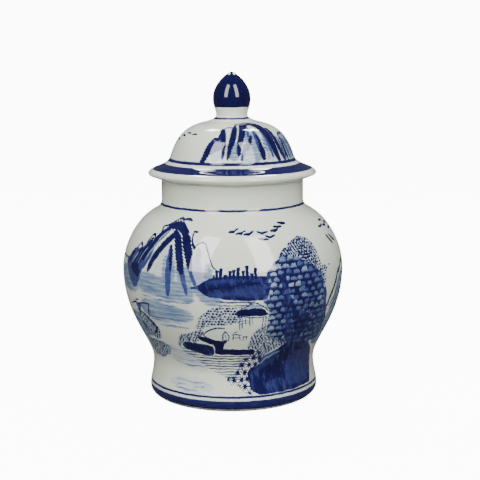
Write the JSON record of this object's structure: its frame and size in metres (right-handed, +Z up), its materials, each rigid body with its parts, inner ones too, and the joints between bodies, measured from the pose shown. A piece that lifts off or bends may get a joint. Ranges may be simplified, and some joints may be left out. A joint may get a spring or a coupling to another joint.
{
  "type": "covered ginger jar",
  "caption": "Hollow baluster jar of glazed porcelain with a wide-brimmed domed lid and a bud knob, painted in cobalt blue with a lake and mountain landscape.",
  "frame": {"origin": "centre of the foot ring, on the surface the jar stands on", "axes": "+Z up along the turned axis, -Y towards the side that carries the main view of the painting"},
  "size_m": [0.2064, 0.2064, 0.3016],
  "materials": {
    "painted_porcelain": "clear gloss glaze over faintly grey-green white porcelain, with underglaze cobalt painting and bare porcelain on the foot ring, rim and seat",
    "cobalt_glaze": "deep cobalt under clear gloss glaze, white at the collar"
  },
  "bodies": {
    "jar": {"jar_body": "painted_porcelain"},
    "lid": {"lid": "painted_porcelain", "knob": "cobalt_glaze"}
  },
  "joints": [
    {"name": "lid_lift", "type": "slide", "parent": "jar", "child": "lid", "axis": [0, 0, 1], "range_m": [0, 0.12]}
  ]
}
